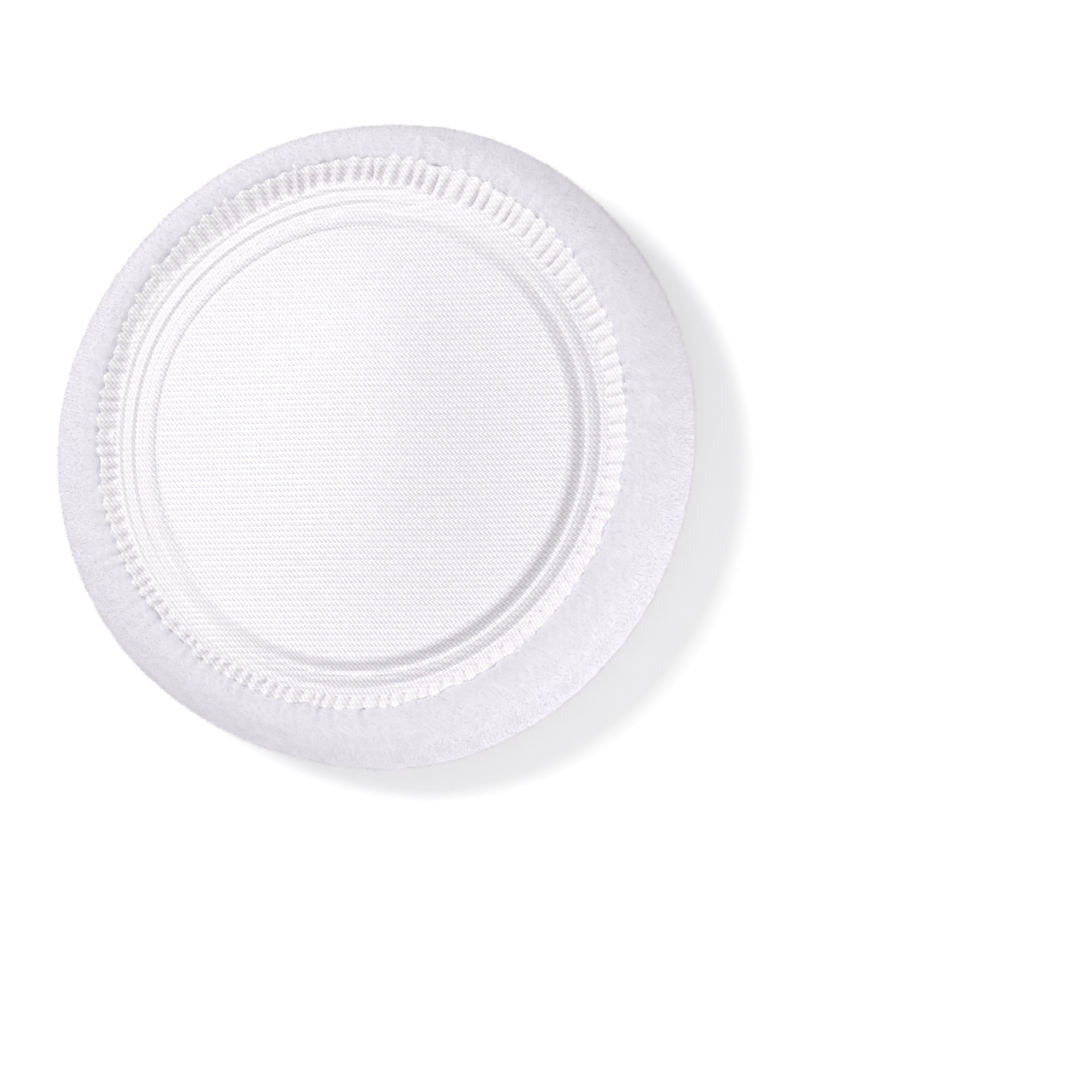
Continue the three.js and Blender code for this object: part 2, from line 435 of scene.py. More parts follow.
# %% [markdown]
# ## Puffing the velour up
#
# A real puff is stuffed, so the cloth swells between the seam and the flat face. The skin is closed with a
# lid and given to the cloth solver with pressure inside; the lid, the lip and the flat face are pinned. The
# solver is tuned for cushion-sized things, so the puff is simulated ten times as large, on a coarse grid.
# Its movement is evened out round the rim, as stuffing does, and read off onto the fine grid.

# %% Cloth simulation
SIM_SCALE, SIM_PRESSURE, SIM_FRAMES, SIM_CAP = 10, 4.0, 20, 0.9 * MM
SIM_ROWS, SIM_COLUMNS, LID_ROWS = 60, 128, 9
EVEN_COLUMNS = 13  # shorter dents are evened out
FREE_SIDE = 0.25  # from this share of the side a row is free


def puff_up(points, held):
    """Inflates a grid that is closed by poles: Cloth with pressure and no gravity, stepped from frame 1.

    held is 1 for a pinned row and 0 for a free one. Returns how points moved, at most SIM_CAP.
    """
    poles = [points[0].mean(0), points[-1].mean(0)]
    mesh = grid_mesh("puffing", points * SIM_SCALE, [p * SIM_SCALE for p in poles])
    body = add_object("puffing", mesh)
    pins = body.vertex_groups.new(name="held")
    columns = points.shape[1]
    for row, hold in enumerate(held):
        pins.add(list(range(row * columns, (row + 1) * columns)), float(hold), "REPLACE")
    pins.add([len(mesh.vertices) - 2, len(mesh.vertices) - 1], 1.0, "REPLACE")
    settings = body.modifiers.new("cloth", "CLOTH").settings
    settings.use_pressure, settings.uniform_pressure_force = True, SIM_PRESSURE
    settings.effector_weights.gravity = 0
    settings.vertex_group_mass = "held"
    for frame_number in range(1, SIM_FRAMES + 1):
        scene.frame_set(frame_number)
    solved = body.evaluated_get(bpy.context.evaluated_depsgraph_get()).data
    flat = np.empty(len(solved.vertices) * 3, np.float32)
    solved.vertices.foreach_get("co", flat)
    moved = flat.reshape(-1, 3)[:points.shape[0] * columns].reshape(points.shape) / SIM_SCALE - points
    scene.frame_set(1)
    bpy.data.objects.remove(body)
    return moved * np.minimum(1, SIM_CAP / np.maximum(lengths(moved), 1e-12))


def sample_grid(values, row_at, column_at):
    """Bilinear reading of a grid that closes along its columns, at fractional row and column numbers."""
    i = np.clip(np.floor(row_at).astype(int), 0, values.shape[0] - 2)
    j = np.floor(column_at).astype(int)
    s, t = (row_at - i)[..., None], (column_at - j)[..., None]
    j, k = j % values.shape[1], (j + 1) % values.shape[1]
    before = (1 - t) * values[i, j] + t * values[i, k]
    behind = (1 - t) * values[i + 1, j] + t * values[i + 1, k]
    return (1 - s) * before + s * behind


coarse, side = slack_skin(SIM_ROWS, SIM_COLUMNS)
lid_r = np.linspace(MOUTH_RADIUS, AXIS_RING, LID_ROWS + 1)[1:]
lid = turned(np.column_stack([lid_r, np.full(LID_ROWS, MOUTH_LEVEL)]), ring_angles(SIM_COLUMNS))
hold = np.concatenate([1 - smooth(side / FREE_SIDE), np.ones(LID_ROWS)])
moved = puff_up(np.concatenate([coarse, lid]), hold)[:SIM_ROWS]
even_out = np.hanning(EVEN_COLUMNS + 2)[1:-1]
even_out /= even_out.sum()
moved = sum(part * np.roll(moved, k - EVEN_COLUMNS // 2, axis=1) for k, part in enumerate(even_out))
row_at = np.linspace(0, SIM_ROWS - 1, SKIN_ROWS)[:, None]
column_at = np.arange(COVER_COLUMNS) * SIM_COLUMNS / COVER_COLUMNS
skin += sample_grid(moved, *np.broadcast_arrays(row_at, column_at))
print(f"the cloth moved {np.linalg.norm(moved, axis=-1).max() / MM:.2f} mm at most")

# %% [markdown]
# ## Chance
#
# Nothing on a sewn puff repeats exactly. Two helpers give soft chance, one round the rim and one in
# space. Each has a seed, so that the same puff comes out every time.

# %% Chance helpers
def wander(angles, waves, seed):
    """A closed, slow wander round the rim: cosines of whole numbers of waves, random phases, RMS near 1."""
    rng = np.random.default_rng(seed)
    counts = np.array(waves)
    phase, height = rng.uniform(0, TURN, len(counts)), rng.uniform(0.6, 1.4, len(counts))
    bends = height * np.cos(np.asarray(angles)[..., None] * counts + phase)
    return bends.sum(-1) * np.sqrt(2 / len(counts))


def patches(points, size, seed, waves=24):
    """Soft patches at points in space: plane waves in random directions, about size long, RMS near 1."""
    rng = np.random.default_rng(seed)
    way = rng.normal(size=(3, waves))
    way *= TURN / (size * rng.uniform(0.7, 1.5, waves)) / np.linalg.norm(way, axis=0)
    return np.cos(points @ way + rng.uniform(0, TURN, waves)).sum(-1) * np.sqrt(2 / waves)

# %% [markdown]
# ## Tufts, puckers and the finished velour body
#
# Pile stands in soft, low tufts, so the velour is never ruled. The seam also gathers the velour: short
# puckers run out from it, in step with the satin's pleats, and die away on the roll. Both are finer than
# the simulation's grid, so they are added after it. The lining and hem close the body.

# %% Velour body
TUFT_SIZE, TUFT_HEIGHT = 2.4 * MM, 0.03 * MM
PLEATS, PLEAT_COLUMNS = 120, 10
PLEAT_DRIFT = 0.12  # from even spacing, as a share of it
PUCKER_HEIGHT, PUCKER_REACH, PUCKER_UNEVEN = 0.10 * MM, 3.2 * MM, 0.6
pleat_phase = np.arange(PLEATS * PLEAT_COLUMNS) / PLEAT_COLUMNS
even_angles = TURN * pleat_phase / PLEATS
drift = PLEAT_DRIFT * wander(even_angles, [5, 9, 14, 23, 31, 44], seed=11)
satin_angles = even_angles - TURN / PLEATS * drift


def grid_normals(points):
    """Unit normals of a grid that closes along its columns: the change round it x the change along it."""
    round_it = np.roll(points, -1, axis=1) - np.roll(points, 1, axis=1)
    n = np.cross(round_it, np.gradient(points, axis=0))
    return n / lengths(n)


cover_angles = ring_angles(COVER_COLUMNS)
steps = np.linalg.norm(np.diff(even_steps(skin_section, SKIN_ROWS), axis=0), axis=1)
from_seam = np.concatenate([np.cumsum(steps[::-1])[::-1], [0]])
fade = np.exp(-(from_seam / PUCKER_REACH) ** 2)
phase_here = np.interp(cover_angles, satin_angles, pleat_phase, period=TURN)
uneven = 1 + PUCKER_UNEVEN * wander(cover_angles, [7, 11, 17, 26, 37], seed=5)
pucker = np.cos(TURN * phase_here) * uneven
relief = fade[:, None] * pucker * PUCKER_HEIGHT + patches(skin, TUFT_SIZE, seed=4) * TUFT_HEIGHT
skin = shifted(skin + grid_normals(skin) * relief[..., None])
skin[..., 2] = np.maximum(skin[..., 2], 0.5 * NAP)
cover_points = np.concatenate([skin, shifted(turned(lining_section, cover_angles))])
cover_mesh = grid_mesh("velour_cloth.mesh", cover_points, ([0, 0, NAP], [0, 0, CLOTH]))
print(f"velour body: {2 * len(cover_mesh.polygons)} triangles")

# %% [markdown]
# ## Mottle: one pattern for all the soft materials
#
# Cloth, felt and foam are never one even tone. A node group gives soft patches, as a tone near 1 that
# multiplies a colour and as a height for bump; each material sets their size.

# %% Mottle group
def group(name, inputs, outputs):
    """A shader node group with float inputs and outputs, and the sockets inside it that bring and take them."""
    made = bpy.data.node_groups.new(name, "ShaderNodeTree")
    for label, value in inputs.items():
        made.interface.new_socket(label, in_out="INPUT", socket_type="NodeSocketFloat").default_value = value
    for label in outputs:
        made.interface.new_socket(label, in_out="OUTPUT", socket_type="NodeSocketFloat")
    return made, made.nodes.new("NodeGroupInput").outputs, made.nodes.new("NodeGroupOutput").inputs


def mottled(tree, patches_per_metre, depth):
    """The mottle group in a material, as its Tone and Height sockets."""
    return node(tree, "Group", {0: patches_per_metre, 1: depth}, node_tree=mottle).outputs


def tinted(tree, colour, tone):
    """A colour multiplied by a tone socket."""
    return node(tree, "VectorMath", {0: colour, 1: tone}, operation="MULTIPLY").outputs[0]


mottle, given, result = group("mottle", {"Patch per metre": 300.0, "Depth": 0.05}, ["Tone", "Height"])
place = node(mottle, "TexCoord").outputs["Object"]
cloudy = {"Vector": place, "Scale": given["Patch per metre"], "Detail": 3.0, "Roughness": 0.6}
noise = node(mottle, "TexNoise", cloudy).outputs["Fac"]
tone = linear(mottle, maths(mottle, "SUBTRACT", noise, 0.5), given["Depth"], 1.0)
mottle.links.new(tone, result["Tone"])
mottle.links.new(noise, result["Height"])

# %% [markdown]
# ## Velour finish
#
# Velour is matt and very even: its pile hides every thread. What shows is a faint mottle where the pile
# lies differently, and faint wales about a millimetre apart from the knitted ground.

# %% Velour material
VELOUR_COLOUR = (0.82, 0.796, 0.853)
WALE_PITCH, WALE_DEPTH = 1.05 * MM, 0.008
FINE_SHARE, VELOUR_BUMP = 0.8, 0.08 * MM  # of the fine patches in the bump, and its height
velour, tree, shader = new_material("velour")
patch = mottled(tree, 700.0, 0.10)
fine = mottled(tree, 4200.0, 0.10)
place = node(tree, "SeparateXYZ", {0: node(tree, "TexCoord").outputs["Object"]}).outputs
wale = maths(tree, "COSINE", maths(tree, "MULTIPLY", place["X"], TURN / WALE_PITCH))
patchy = maths(tree, "MULTIPLY", patch["Tone"], fine["Tone"])
tone = maths(tree, "MULTIPLY", patchy, linear(tree, wale, WALE_DEPTH, 1.0))
height = linear(tree, fine["Height"], FINE_SHARE, patch["Height"])
plug(tree, shader, {
    "Base Color": tinted(tree, VELOUR_COLOUR, tone), "Roughness": 0.95,
    "Specular IOR Level": 0.1, "Normal": bumped(tree, height, 0.2, VELOUR_BUMP)})

velour_cloth = add_piece("velour_cloth", cover_mesh, velour, "velour", "velour_cover")

# %% [markdown]
# ## The pile
#
# Close to, the velour's edge is a fringe of short fibres, which makes it look soft. Each fibre is a thin
# closed spike of four triangles, rooted in the ground cloth and leaning a little, partly with its
# neighbours and partly on its own. Roots are scattered, because even rows would show as a swirl.

# %% Fibres
FIBRE_WIDTH, FIBRE_LENGTH, ROOT_DEPTH = 0.04 * MM, 0.42 * MM, 0.06 * MM
SHORTEST, LONGEST = 0.55, 1.15  # as shares of FIBRE_LENGTH
LEAN_TOGETHER, LEAN_ALONE = 0.16, 0.20
LEAN_PATCH, TONE_PATCH = 4 * MM, 3.5 * MM  # patches that lean alike, and look alike
TONE_ALONE, TIP_FLOOR = 0.6, 0.01 * MM  # a fibre's own part in its tone; lowest tip
skin_normals = grid_normals(skin)


def grow_pile(name, first, last, density, seed):
    """Fibres on rows first to last of the skin, density per square metre.

    Roots follow the cells' areas and fall anywhere inside their cell. A fibre points along the normal
    plus a lean; its root is a triangle round the line and its tip a single point.
    """
    rng = np.random.default_rng(seed)
    band, normals = skin[first:last + 1], skin_normals[first:last + 1]
    following = np.roll(band, -1, axis=1)
    diagonals = following[1:] - band[:-1], band[1:] - following[:-1]
    area = np.linalg.norm(np.cross(*diagonals), axis=-1).ravel() / 2
    count = int(area.sum() * density)
    number = np.arange(count)
    cell = np.searchsorted(np.cumsum(area), (number + 0.5) / count * area.sum()).clip(0, area.size - 1)
    s, t = rng.random((2, count))
    i, j = np.divmod(cell, COVER_COLUMNS)
    root, normal = sample_grid(band, i + s, j + t), sample_grid(normals, i + s, j + t)
    normal /= lengths(normal)
    shared = np.stack([patches(root, LEAN_PATCH, seed=k) for k in (21, 22, 23)], axis=-1)
    lean = LEAN_TOGETHER * shared + LEAN_ALONE * rng.normal(size=(count, 3))
    lean -= normal * (lean * normal).sum(-1, keepdims=True)
    way = normal + lean
    way /= lengths(way)
    length = FIBRE_LENGTH * rng.uniform(SHORTEST, LONGEST, (count, 1))
    sideways = np.cross(way, rng.normal(size=(count, 3)))
    sideways *= FIBRE_WIDTH / 2 / lengths(sideways)
    other = np.cross(way, sideways)
    foot = root - normal * ROOT_DEPTH
    ring = [foot + sideways * np.cos(a) + other * np.sin(a) for a in (0, TURN / 3, TURN * 2 / 3)]
    tip = root + way * length
    tip[:, 2] = np.maximum(tip[:, 2], TIP_FLOOR)
    places = np.stack([*ring, tip], axis=1).reshape(-1, 3)
    spike = np.array([[0, 1, 3], [1, 2, 3], [2, 0, 3], [0, 2, 1]])
    faces = (number[:, None, None] * 4 + spike).reshape(-1, 3)
    mesh = smooth_mesh(name + ".mesh", places, faces.tolist())
    tones = rng.uniform(-TONE_ALONE, TONE_ALONE, count) + patches(root, TONE_PATCH, seed=24)
    shades = mesh.attributes.new("fibre_tone", "FLOAT", "POINT").data
    shades.foreach_set("value", np.repeat(tones, 4).astype(np.float32))
    return mesh

# %% [markdown]
# ## Four bands of pile
#
# The pile is grown in bands, each a piece of its own, and thicker towards the roll, whose edge is seen.

# %% Pile
PER_SQUARE_MM = 1e6
FIBRE_TONE = 0.02  # how much the fibres' tones differ
# name, where it starts and ends as a share of the skin's rows, fibres per square mm
PILE_BANDS = [("pile_face", 0.0, 0.52, 10), ("pile_flank", 0.52, 0.76, 12), ("pile_side", 0.76, 0.88, 18),
              ("pile_roll", 0.88, 0.985, 22)]
pile_finish, tree, shader = new_material("velour_pile")
tone_of = node(tree, "Attribute", attribute_name="fibre_tone").outputs["Fac"]
tone = linear(tree, tone_of, FIBRE_TONE, 1.0)
plug(tree, shader, {
    "Base Color": tinted(tree, VELOUR_COLOUR, tone), "Roughness": 0.9, "Specular IOR Level": 0.1})

for number, (name, start, stop, density) in enumerate(PILE_BANDS):
    first, last = round(start * (SKIN_ROWS - 1)), round(stop * (SKIN_ROWS - 1))
    mesh = grow_pile(name, first, last, density * PER_SQUARE_MM, seed=40 + number)
    add_piece(name, mesh, pile_finish, "velour")
    print(f"{name}: {len(mesh.polygons) // 4} fibres, {len(mesh.polygons)} triangles")

# %% [markdown]
# ## The satin's shape
#
# The satin starts as a flat round. A hot tool presses its middle down on the pad, which leaves a plateau, a
# strong bead round it, a crease, a weaker bead and a groove. The tool came down unevenly: the rings differ
# on the left and the right, almost fade away in two places and bulge outwards in one.

# %% Satin section
# radius and height in mm on the two sides that differ most: rim crease, bead, its long outer slope, a
# small step, second bead, groove, and the rise to the seam
RINGS_LEFT = np.array([[0, 12.05], [22.5, 12.05], [22.85, 11.86], [23.5, 12.40], [24.3, 11.58],
                       [24.6, 11.7], [25.35, 11.26], [25.8, 11.6], [26.8, 11.14], [27.15, 11.36],
                       [27.5, 11.34], [29.5, 11.93], [32.4, 12.6]]) * MM
RINGS_RIGHT = np.array([[0, 12.05], [22.95, 12.05], [23.35, 12.12], [23.6, 11.95], [24.35, 11.25],
                        [24.65, 11.15], [25.0, 11.36], [25.3, 11.26], [25.6, 11.22], [26.15, 10.88],
                        [26.35, 10.88], [26.75, 11.08], [29.5, 12.42], [32.4, 13.2]]) * MM
GROOVE_RADIUS, GROOVE_LEVEL = RINGS_RIGHT[10]
ROUNDING, FADED = 0.22 * MM, 3.0 * MM  # widths over which the press rounds the section, and where it failed
FADES = [(59, 20, 0.95), (-130, 22, 0.9)]  # where the press failed: bearing, width in degrees, share
FADE_EDGE = 1 * MM  # it stops within this width of the groove
BULGE, BULGE_AT = 0.28 * MM, (152, 20)  # how far the rings bulge; bearing, width in degrees
BULGE_FROM, BULGE_GROWTH = 21 * MM, 1.5 * MM
TABLE_STEP = 0.02 * MM


def near(angles, bearing, width):
    """1 at a bearing, less away from it: exp(-(angle between / width)^2). Bearing and width in degrees."""
    between = (angles - np.radians(bearing) + np.pi) % TURN - np.pi
    return np.exp(-(between / np.radians(width)) ** 2)


def rounded(rings, width):
    """Ring points joined by straight slopes and averaged over a width, as tables of radius and height."""
    r = np.arange(0, rings[-1, 0], TABLE_STEP)
    blur = np.hanning(round(width / TABLE_STEP))
    half = len(blur) // 2
    z = np.pad(np.interp(r, *rings.T), half, "edge")
    return r, np.convolve(z, blur / blur.sum(), "same")[half:half + len(r)]


def pressed_height(r, angles=0.0):
    """Height of the pressed satin at radius r, without its gathers.

    The rings of both sides are mixed by direction and bulge outwards in one place; where the press failed
    they are averaged over a much greater width.
    """
    left = left_share(angles)
    failed = sum(part * near(angles, bearing, width) for bearing, width, part in FADES)
    failed = failed * smooth((GROOVE_RADIUS + FADE_EDGE - r) / FADE_EDGE)
    bulge = BULGE * near(angles, *BULGE_AT) * smooth((r - BULGE_FROM) / BULGE_GROWTH)

    def mixed(width):
        return sum(part * np.interp(r - bulge, *rounded(rings, width))
                   for part, rings in ((left, RINGS_LEFT), (1 - left, RINGS_RIGHT)))

    return (1 - failed) * mixed(ROUNDING) + failed * mixed(FADED)


print(f"satin: groove {GROOVE_LEVEL / MM:.2f} mm high")

# %% [markdown]
# ## The gathers
#
# Outside the groove a draw thread gathers the rim into about 120 fingers. A finger's cross-section is a
# power of a cosine, with a sharp valley at each side. The columns of the grid follow the fingers, ten to
# each, so that every valley stays crisp. Fingers differ a little in width, height, start and length. On the
# right they are pressed flat, and on the left they end sooner.

# %% Fingers
FLAT_BEARING = np.radians(-15)  # where the fingers are pressed flat
RIDGE_POWER, RIDGE_FLATTER = 1.5, 1.1  # of the cosine: on a round finger, less on a flat one
END_POWER, END_FLATTER = 1.3, 0.5  # the same for the outline of its end
LOWEST, HIGHEST = 0.8, 1.1  # heights of the fingers, as shares of the depth
START_SPREAD, START_WANDER = 0.12, 0.18 * MM  # where they start: spread in mm, and slow wander
START_SHIFT, START_BEARING = 0.35 * MM, np.radians(190)  # where the fingers start farther out
REACH_MEAN, REACH_SPREAD = 0.02, 0.20  # mm by which their ends differ
TUCK, TUCK_LEFT = 0.22 * MM, -0.02 * MM  # how far the ends reach past the seam circle, right and left
VALLEY_SHORT = 0.29 * MM  # how much sooner the valleys end

finger = np.floor(pleat_phase + 0.5).astype(int) % PLEATS
swing = np.abs(np.cos(np.pi * pleat_phase))
flat_topped = smooth(0.5 + np.cos(satin_angles - FLAT_BEARING))
ridge = swing ** (RIDGE_POWER - RIDGE_FLATTER * flat_topped)
blunt = swing ** (END_POWER - END_FLATTER * flat_topped)
rng = np.random.default_rng(12)
finger_height = rng.uniform(LOWEST, HIGHEST, PLEATS)[finger]
finger_start = rng.normal(0, START_SPREAD, PLEATS)[finger] * MM
finger_start += START_WANDER * wander(satin_angles, [3, 5, 8, 12], seed=13)
finger_start += START_SHIFT * np.cos(satin_angles - START_BEARING)
finger_reach = rng.normal(REACH_MEAN, REACH_SPREAD, PLEATS)[finger] * MM
tip_radius = (SEAM_RADIUS + TUCK + (TUCK_LEFT - TUCK) * left_share(satin_angles)
              - VALLEY_SHORT * (1 - blunt) + finger_reach * blunt)
print(f"{PLEATS} fingers end {tip_radius.min() / MM:.1f} to {tip_radius.max() / MM:.1f} mm from the axis")

# %% [markdown]
# ## The satin's height
#
# The pressed section, the fingers and the plateau's unevenness add up: a soft ridge crosses the plateau,
# and its rim is lifted on one side. The valleys are deepest in one direction and run out at the seam.

# %% Satin height
PLEAT_DEPTH, PLEAT_START, PLEAT_GROWTH = 0.50 * MM, 27.3 * MM, 0.5 * MM
DEEPER, DEEP_AT = 0.5, (90, 26)  # deepest valleys: bearing, width in degrees
FLAT_SHARE = 0.1  # how much lower the flat fingers are
VALLEY_END = 0.8  # how much shallower the valleys are at the seam
RUN_OUT, RUN_GROWTH = 1.2 * MM, 1.1 * MM  # how far from the end, over what length
RIDGE_HEIGHT, RIDGE_AT, RIDGE_BEARING = 0.86 * MM, 3.0 * MM, np.radians(-6)
RIDGE_LEFT, RIDGE_RIGHT = 14 * MM, 8 * MM  # widths of its two sides
RIDGE_EDGE, RIDGE_FADE = 22.5 * MM, 16 * MM  # where it ends, and over what width it fades
RIM_LIFT, RIM_BEARING, RIM_SPREAD = 0.36 * MM, np.radians(-30), 0.25
RIM_FROM, RIM_WIDTH, RIM_EDGE, RIM_FALL = 14.5 * MM, 8.5 * MM, 24.1 * MM, 1.1 * MM


def swell(r):
    """The plateau's unevenness: the ridge, a bell across its line, plus the lifted rim, a square law."""
    across = r * np.cos(satin_angles - RIDGE_BEARING) - RIDGE_AT
    bell = np.exp(-(across / np.where(across < 0, RIDGE_LEFT, RIDGE_RIGHT)) ** 2)
    bell = bell * smooth((RIDGE_EDGE - r) / RIDGE_FADE)
    round_it = np.clip(np.cos(satin_angles - RIM_BEARING) + RIM_SPREAD, 0, None) / (1 + RIM_SPREAD)
    rim = np.clip((r - RIM_FROM) / RIM_WIDTH, 0, 1) ** 2 * smooth((RIM_EDGE - r) / RIM_FALL)
    return RIDGE_HEIGHT * bell + RIM_LIFT * rim * round_it


def gathered(r):
    """Height of the satin on a rows x columns grid of radii: the pressed section, the swell, the fingers."""
    deep = 1 + DEEPER * near(satin_angles, *DEEP_AT)
    grown = smooth((r - PLEAT_START - finger_start) / PLEAT_GROWTH)
    depth = PLEAT_DEPTH * deep * (1 - FLAT_SHARE * flat_topped) * grown
    depth = depth * (1 - VALLEY_END * smooth((r - tip_radius + RUN_OUT) / RUN_GROWTH))
    return pressed_height(r, satin_angles) + swell(r) + depth * (finger_height * ridge - 1)


def seam_share(r):
    """How much of SEAM_SHIFT the satin takes at a radius: nothing in the groove, all of it at the seam."""
    return smooth((r - GROOVE_RADIUS) / (SEAM_RADIUS - GROOVE_RADIUS))

# %% [markdown]
# ## The satin sheet
#
# The grid runs from the middle over the plateau, the rings and the fingers. Each finger's end rounds over
# like a nose and sinks into the pile, and at the top of the picture the fingers lean. The cloth then turns
# under as a hem and goes back to the middle, which closes the sheet.

# %% Satin sheet
FIRST_RING, BAND_START = 0.5, 27.0 * MM  # first ring in mm; where the fingers begin
NOSE_LENGTH, NOSE_DROP, NOSE_TURN = 0.7 * MM, 0.32 * MM, 150  # the turn in degrees
LEAN, LEAN_AT = 0.8 * MM, (88, 32)  # how far the fingers lean; bearing, width in degrees
# radius and height in mm: skirt, hem, channel of the thread, and back under the rings to the middle
UNDERSIDE = np.array([[28.5, 10.9], [28.8, HEM_LEVEL / MM], [27.2, 9.15], [27.2, 9.4], [28.2, 9.55],
                      [28.1, 10.5], [27.2, 10.4], [26.2, 10.45], [25.2, 10.85], [24.3, 10.75], [23.0, 11.5],
                      [17, 11.5], [9, 11.8], [FIRST_RING, 12.0]]) * MM
plateau_r = np.concatenate([np.linspace(FIRST_RING, 22.3, 12), np.linspace(22.4, BAND_START / MM, 37)]) * MM
body_r = np.broadcast_to(plateau_r[:, None], (len(plateau_r), len(satin_angles)))
band_r = BAND_START + (tip_radius - NOSE_LENGTH - BAND_START) * np.linspace(0, 1, 14)[1:, None]
nose_a = np.radians(np.linspace(0, NOSE_TURN, 6))[1:, None]
nose_top = tip_radius - NOSE_LENGTH * (1 - np.sin(np.minimum(nose_a, np.pi / 2)))
nose_r = tip_radius - NOSE_LENGTH * (1 - np.sin(nose_a))
nose_z = gathered(nose_top) - NOSE_DROP * (1 - np.cos(nose_a))
satin_r = np.concatenate([body_r, band_r, nose_r])
satin_z = np.concatenate([gathered(body_r), gathered(band_r), nose_z])
turned_back = LEAN / SEAM_RADIUS * near(satin_angles, *LEAN_AT)
leaning = satin_angles - turned_back * np.clip((satin_r - BAND_START) / (SEAM_RADIUS - BAND_START), 0, 1)
satin_points = np.concatenate([around(satin_r, leaning, satin_z), turned(UNDERSIDE, satin_angles)])
reach = lengths(satin_points[..., :2])
satin_points = along_radius(satin_points, seam_share(reach))
satin_poles = [0, 0, UNDERSIDE[-1, 1]], [0, 0, satin_points[0, :, 2].mean()]
satin_mesh = grid_mesh("satin_sheet.mesh", satin_points[::-1], satin_poles)
print(f"satin: {2 * len(satin_mesh.polygons)} triangles")

# %% [markdown]
# ## How flat the cloth is pressed, and painted light on its lit side
#
# The tool pressed the rings a little and the flat fingers hardest, so that the gaps between the yarns nearly
# close there. On the left of the plateau and the rings, the side the lamp lights, the share is raised as
# painted light, which pales the painted shade in the gaps. An attribute of the mesh carries that share to
# the material.

# %% Pressed share
RINGS_START, SHARE_BLEND = 23.2 * MM, 0.8 * MM
# painted light: the share rises towards the plateau's left and the rings' left, the lit side
PLATEAU_LIT, PLATEAU_SPREAD = 0.5, 36 * MM  # share at the left edge, width over which it falls
RINGS_PRESSED, RINGS_LIT_MORE = 0.25, 0.65
FINGERS_PRESSED, FLAT_MORE = 0.5, 0.6
in_rings, in_fingers = (smooth((reach[..., 0] - start) / SHARE_BLEND) for start in (RINGS_START, BAND_START))
pressed_and_lit_share = PLATEAU_LIT * smooth(0.5 - satin_points[..., 0] / PLATEAU_SPREAD)
pressed_and_lit_share += in_rings * (RINGS_PRESSED + RINGS_LIT_MORE * left_share(satin_angles) - pressed_and_lit_share)
pressed_and_lit_share += in_fingers * (FINGERS_PRESSED + FLAT_MORE * flat_topped - pressed_and_lit_share)
pressed_and_lit_values = np.concatenate([pressed_and_lit_share[::-1].ravel(), np.zeros(2)]).astype(np.float32)
satin_mesh.attributes.new("pressed_and_lit", "FLOAT", "POINT").data.foreach_set("value", pressed_and_lit_values)
print(f"pressed share: {pressed_and_lit_share.min():.2f} to {pressed_and_lit_share.max():.2f}")

# %% [markdown]
# ## Satin weave
#
# Satin's shine comes from its floats: short lengths of yarn on top of the weave, here in rows 0.61 mm apart.
# Through a row a float slants one way for three quarters of the height and then back, a zigzag. A cosine
# along the rows gives the gaps between floats, and one across them the rows' ends, where the floats dive
# under; noise bends both. Gaps and row ends get painted shade, standing in for the shade that falls into
# these hollows. Where the cloth is pressed flat, and as painted light on the lit left, that painted shade is
# narrower and paler. The group puts out the shaded gaps as a mask, the dive, which makes the bump with them,
# and a noise along the yarns.

# %% Weave group
FLOAT_PACE, ROW_PACE = (2060.0, 0.0, 0.0), (27.0, 1639.0, 0.0)  # floats and rows per metre, along X and Y
LONG_LEG, SLANT, ROW_SLIP = 0.75, 0.88, 0.961  # share of a row, shift in floats over it and from row to row
BENDS, ROW_WAVER = 420.0, 0.6  # bends per metre, and the rows' share of the waver
FLOAT_POWER, ROW_POWER = 1.5, 2.5  # narrow the gaps between floats and between rows
ROW_COVER, ROW_SHADE = 0.5, 0.55  # what a row's end takes from the gaps, and its own shade
GAP_SHADE_PALER = 0.4  # how much paler the painted gap shade is where the share is high
YARN_SCALE = (60.0, 1615.0, 60.0)  # patches per metre, long along the rows


def paces(tree, place, pace):
    """How many floats or rows lie between the origin and a place: pace . place."""
    return node(tree, "VectorMath", {0: place, 1: pace}, operation="DOT_PRODUCT").outputs["Value"]


def ridges(tree, phase):
    """0.5 + 0.5 cos(TURN phase): soft ridges at whole numbers of the phase."""
    return linear(tree, maths(tree, "COSINE", maths(tree, "MULTIPLY", phase, TURN)), 0.5, 0.5)


weave, given, result = group("satin_weave", {"Waver": 0.25}, ["Shaded gap", "Dive", "Yarn"])
spot = node(weave, "TexCoord").outputs["Object"]
place = node(weave, "VectorMath", {0: spot, 1: (1, 1, 0)}, operation="MULTIPLY").outputs[0]
# the pressed share, with painted light on the lit left, narrows and pales the painted shade
pressed_and_lit = node(weave, "Attribute", attribute_name="pressed_and_lit").outputs["Fac"]
bent = node(weave, "TexNoise", {"Vector": place, "Scale": BENDS, "Detail": 2.0}).outputs["Fac"]
waver = maths(weave, "MULTIPLY", maths(weave, "SUBTRACT", bent, 0.5), given["Waver"])
row = linear(weave, waver, ROW_WAVER, paces(weave, place, ROW_PACE))
row = maths(weave, "ADD", row, (1 - LONG_LEG) / 2)
in_row = maths(weave, "FRACT", row)
zigzag = maths(weave, "MINIMUM", maths(weave, "DIVIDE", in_row, LONG_LEG),
               maths(weave, "DIVIDE", maths(weave, "SUBTRACT", 1.0, in_row), 1 - LONG_LEG))
slip = maths(weave, "MULTIPLY", maths(weave, "FLOOR", row), ROW_SLIP)
along = maths(weave, "ADD", paces(weave, place, FLOAT_PACE), slip)
floats = maths(weave, "ADD", along, linear(weave, zigzag, SLANT, waver))
